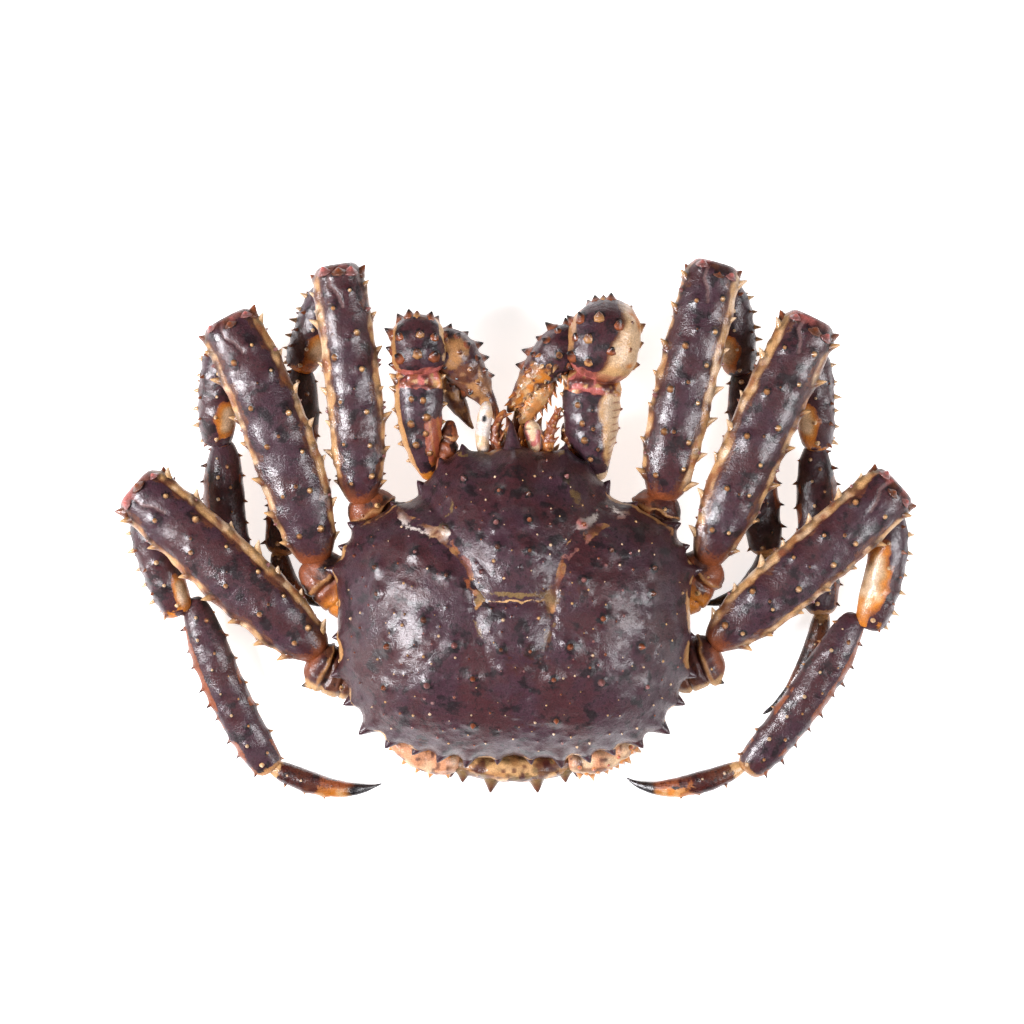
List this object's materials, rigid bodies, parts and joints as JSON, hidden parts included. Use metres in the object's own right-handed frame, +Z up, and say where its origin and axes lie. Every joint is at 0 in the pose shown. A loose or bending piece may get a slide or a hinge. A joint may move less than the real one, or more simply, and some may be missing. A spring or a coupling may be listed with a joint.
{
  "type": "king crab",
  "caption": "Whole raw king crab with a thorny dark shell, lying on its belly with its legs and claws folded in against the body.",
  "frame": {"origin": "on the flat belly flap that the crab rests on, on the middle line of the body, below the middle of the carapace", "axes": "+Z up through the back, +Y towards the head, +X towards the crab's right side, across the folded legs"},
  "size_m": [0.3899, 0.2651, 0.083],
  "materials": {
    "carapace_shell": "wet dark plum-brown shell, semi-gloss, fine grain",
    "leg_shell": "wet dark purple-brown shell with cream edges, semi-gloss",
    "leg_tips": "amber to black horn, glossy",
    "claw_shell": "wet dark shell with cream and rust patches, semi-gloss",
    "claw_fingers": "tan to orange horn, semi-gloss",
    "joint_skin": "red-brown to amber joint pieces, semi-gloss",
    "tail_plates": "orange to olive-cream plates, semi-gloss",
    "belly_flap": "pale tan segmented underside, satin",
    "underbody": "pale tan to orange underside, satin",
    "face_parts": "cream and amber mouth and eye pieces, satin"
  },
  "bodies": {
    "root": {"abdomen_first_plate": "tail_plates", "abdomen_flap": "belly_flap", "abdomen_side_plate_left": "tail_plates", "abdomen_side_plate_right": "tail_plates", "antenna_left": "face_parts", "antenna_right": "face_parts", "carapace": "carapace_shell", "claw_left_carpus": "claw_shell", "claw_left_coxa": "joint_skin", "claw_left_finger": "claw_fingers", "claw_left_merus": "claw_shell", "claw_left_palm": "claw_shell", "claw_right_carpus": "claw_shell", "claw_right_coxa": "joint_skin", "claw_right_finger": "claw_fingers", "claw_right_merus": "claw_shell", "claw_right_palm": "claw_shell", "eye_stalk_left": "face_parts", "eye_stalk_right": "face_parts", "leg_front_left_carpus": "leg_shell", "leg_front_left_coxa": "joint_skin", "leg_front_left_dactyl": "leg_tips", "leg_front_left_merus": "leg_shell", "leg_front_left_propodus": "leg_shell", "leg_front_right_carpus": "leg_shell", "leg_front_right_coxa": "joint_skin", "leg_front_right_dactyl": "leg_tips", "leg_front_right_merus": "leg_shell", "leg_front_right_propodus": "leg_shell", "leg_middle_left_carpus": "leg_shell", "leg_middle_left_coxa": "joint_skin", "leg_middle_left_dactyl": "leg_tips", "leg_middle_left_merus": "leg_shell", "leg_middle_left_propodus": "leg_shell", "leg_middle_right_carpus": "leg_shell", "leg_middle_right_coxa": "joint_skin", "leg_middle_right_dactyl": "leg_tips", "leg_middle_right_merus": "leg_shell", "leg_middle_right_propodus": "leg_shell", "leg_rear_left_carpus": "leg_shell", "leg_rear_left_coxa": "joint_skin", "leg_rear_left_dactyl": "leg_tips", "leg_rear_left_merus": "leg_shell", "leg_rear_left_propodus": "leg_shell", "leg_rear_right_carpus": "leg_shell", "leg_rear_right_coxa": "joint_skin", "leg_rear_right_dactyl": "leg_tips", "leg_rear_right_merus": "leg_shell", "leg_rear_right_propodus": "leg_shell", "mouthparts": "face_parts", "thorax": "underbody"}
  },
  "joints": []
}
